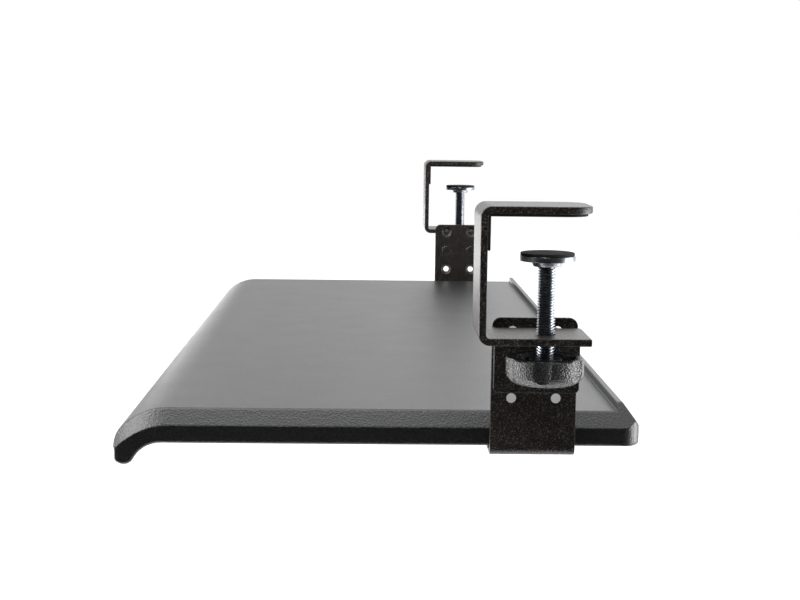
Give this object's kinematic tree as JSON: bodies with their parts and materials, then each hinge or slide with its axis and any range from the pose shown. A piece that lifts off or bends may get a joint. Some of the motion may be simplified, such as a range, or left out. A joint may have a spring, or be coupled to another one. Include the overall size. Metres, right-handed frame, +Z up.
{
  "type": "clamp-on keyboard tray",
  "caption": "Shallow moulded tray with a rolled front edge that slides on rollers between brackets hung from screw clamps on the front edge of a table top.",
  "frame": {"origin": "top front edge of the table top that the clamps grip, midway between the clamps", "axes": "+X along the tray, +Y from the user towards the table, +Z up"},
  "size_m": [0.783, 0.3, 0.1519],
  "materials": {
    "tray_moulding": "fine moulded grain",
    "powder_coat": "black powder coat with a fine texture",
    "soft_lining": "matt foam rubber",
    "zinc_plate": "bright zinc plate",
    "nylon": "natural moulding",
    "rail_aluminium": "plain extrusion",
    "stop_plastic": "plain moulding",
    "knob_plastic": "grained moulding"
  },
  "bodies": {
    "clamps": {"clamp_strap_right": "powder_coat", "clamp_strap_left": "powder_coat", "jaw_lining_right": "soft_lining", "jaw_lining_left": "soft_lining", "slide_bracket_right": "powder_coat", "slide_bracket_left": "powder_coat", "height_screws_right": "powder_coat", "height_screws_left": "powder_coat", "roller_axles_right": "zinc_plate", "roller_axles_left": "zinc_plate"},
    "tray": {"tray_top": "tray_moulding", "rail_right": "rail_aluminium", "rail_left": "rail_aluminium", "rail_screws_right": "zinc_plate", "rail_screws_left": "zinc_plate", "rail_stops_right": "stop_plastic", "rail_stops_left": "stop_plastic"},
    "roller_front_right": {"roller_front_right": "nylon"},
    "roller_rear_right": {"roller_rear_right": "nylon"},
    "roller_front_left": {"roller_front_left": "nylon"},
    "roller_rear_left": {"roller_rear_left": "nylon"},
    "foot_right": {"pressure_foot_right": "zinc_plate", "foot_face_right": "soft_lining"},
    "screw_right": {"clamp_screw_right": "zinc_plate", "knob_right": "knob_plastic", "knob_nut_right": "zinc_plate"},
    "foot_left": {"pressure_foot_left": "zinc_plate", "foot_face_left": "soft_lining"},
    "screw_left": {"clamp_screw_left": "zinc_plate", "knob_left": "knob_plastic", "knob_nut_left": "zinc_plate"}
  },
  "joints": [
    {"name": "tray_slide", "type": "slide", "parent": "clamps", "child": "tray", "axis": [0, 1, 0], "range_m": [0, 0.18]},
    {"name": "roller_front_right_spin", "type": "hinge", "parent": "clamps", "child": "roller_front_right", "pos_m": [0.3112, 0.013, -0.12675], "axis": [1, 0, 0], "range_deg": [-1986, 0]},
    {"name": "roller_rear_right_spin", "type": "hinge", "parent": "clamps", "child": "roller_rear_right", "pos_m": [0.3112, 0.046, -0.12675], "axis": [1, 0, 0], "range_deg": [-1986, 0]},
    {"name": "roller_front_left_spin", "type": "hinge", "parent": "clamps", "child": "roller_front_left", "pos_m": [-0.3112, 0.013, -0.12675], "axis": [1, 0, 0], "range_deg": [-1986, 0]},
    {"name": "roller_rear_left_spin", "type": "hinge", "parent": "clamps", "child": "roller_rear_left", "pos_m": [-0.3112, 0.046, -0.12675], "axis": [1, 0, 0], "range_deg": [-1986, 0]},
    {"name": "foot_lift_right", "type": "slide", "parent": "clamps", "child": "foot_right", "axis": [0, 0, 1], "range_m": [-0.035, 0.008]},
    {"name": "knob_turn_right", "type": "hinge", "parent": "foot_right", "child": "screw_right", "pos_m": [0.3705, 0.032, -0.085], "axis": [0, 0, 1], "range_deg": [-8410, 1930]},
    {"name": "foot_lift_left", "type": "slide", "parent": "clamps", "child": "foot_left", "axis": [0, 0, 1], "range_m": [-0.035, 0.008]},
    {"name": "knob_turn_left", "type": "hinge", "parent": "foot_left", "child": "screw_left", "pos_m": [-0.3705, 0.032, -0.085], "axis": [0, 0, 1], "range_deg": [-8410, 1930]}
  ],
  "couplings": [
    {"joint": "roller_front_right_spin", "follows": "tray_slide", "rad_per_m": -192.31},
    {"joint": "roller_rear_right_spin", "follows": "tray_slide", "rad_per_m": -192.31},
    {"joint": "roller_front_left_spin", "follows": "tray_slide", "rad_per_m": -192.31},
    {"joint": "roller_rear_left_spin", "follows": "tray_slide", "rad_per_m": -192.31},
    {"joint": "knob_turn_right", "follows": "foot_lift_right", "rad_per_m": 4188.8},
    {"joint": "knob_turn_left", "follows": "foot_lift_left", "rad_per_m": 4188.8}
  ]
}
